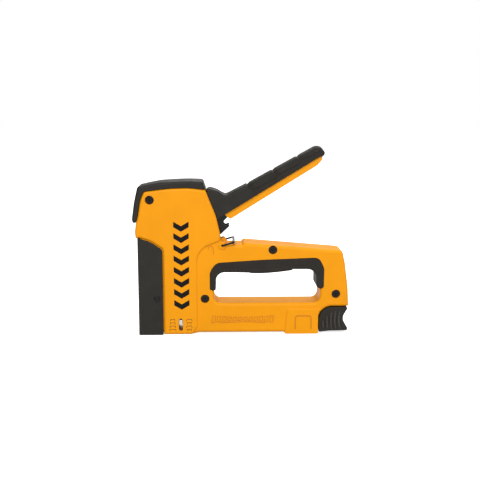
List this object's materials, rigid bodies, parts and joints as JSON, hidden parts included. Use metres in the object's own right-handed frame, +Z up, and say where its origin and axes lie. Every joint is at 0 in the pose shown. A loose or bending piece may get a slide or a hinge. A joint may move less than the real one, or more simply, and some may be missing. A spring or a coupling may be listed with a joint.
{
  "type": "staple gun",
  "caption": "Hand-squeezed heavy-duty staple gun with a sprung driver, wire bail that locks the lever, clinch selector and a rear-drawn staple magazine.",
  "frame": {"origin": "on the flat the tool stands on, under the middle of its bounding box", "axes": "+X from the nose to the rear of the handle, +Y to the far side, +Z up from the base to the lever"},
  "size_m": [0.2, 0.0338, 0.1744],
  "materials": {
    "yellow_paint": "orange-yellow powder coat, satin, slightly textured",
    "black_moulding": "fine matte moulding",
    "black_rubber": "soft matte rubber",
    "black_steel": "satin black oxide",
    "bright_steel": "plain bright steel",
    "plated_steel": "bright zinc plate",
    "spring_steel": "oiled spring wire"
  },
  "bodies": {
    "housing": {"left_housing": "yellow_paint", "right_housing": "yellow_paint", "head_cap": "black_moulding", "nose_cover": "black_moulding", "nose_pin": "black_steel", "grip_insert": "black_rubber", "housing_screws": "black_steel", "front_plate": "bright_steel", "spring_seat": "bright_steel", "shock_bumper": "black_rubber", "lever_pin": "bright_steel", "lever_spring": "spring_steel", "magazine_channel": "bright_steel", "knob_catch": "spring_steel", "selector_detent": "spring_steel"},
    "lever": {"lever_shroud": "black_moulding", "lever_grip": "black_rubber", "lever_channel": "yellow_paint", "lever_frame": "black_steel", "lever_bushing": "bright_steel", "lever_rivets": "plated_steel", "lift_pin": "bright_steel"},
    "driver": {"driver_blade": "bright_steel", "driver_carrier": "bright_steel", "driver_rivets": "plated_steel", "power_spring": "spring_steel"},
    "bail": {"latch_bail": "black_steel", "latch_roller": "plated_steel"},
    "selector": {"clinch_selector": "plated_steel", "clinch_blade": "bright_steel"},
    "magazine": {"magazine_knob": "black_moulding", "staple_rail": "bright_steel", "knob_pin": "bright_steel", "guide_rod": "bright_steel", "rod_nut": "plated_steel", "rail_stop": "bright_steel", "feed_spring": "spring_steel"},
    "pusher": {"staple_pusher": "bright_steel"}
  },
  "joints": [
    {"name": "lever_pivot", "type": "hinge", "parent": "housing", "child": "lever", "pos_m": [-0.0286, 0, 0.1012], "axis": [0, 1, 0], "range_deg": [0, 37], "stiffness_Nm_per_rad": 2, "springref_deg": -17.19},
    {"name": "driver_slide", "type": "slide", "parent": "housing", "child": "driver", "axis": [0, 0, 1], "range_m": [0, 0.0184], "deforming": ["power_spring"]},
    {"name": "bail_swing", "type": "hinge", "parent": "housing", "child": "bail", "pos_m": [-0.0177, 0, 0.0842], "axis": [0, 1, 0], "range_deg": [-60, 0]},
    {"name": "selector_slide", "type": "slide", "parent": "housing", "child": "selector", "axis": [0, 0, -1], "range_m": [0, 0.0054]},
    {"name": "magazine_slide", "type": "slide", "parent": "housing", "child": "magazine", "axis": [1, 0, 0], "range_m": [0, 0.095]},
    {"name": "pusher_slide", "type": "slide", "parent": "magazine", "child": "pusher", "axis": [1, 0, 0], "range_m": [0, 0.08], "deforming": ["feed_spring"]}
  ],
  "couplings": [
    {"joint": "driver_slide", "follows": "lever_pivot", "m_per_rad": 0.02849}
  ]
}
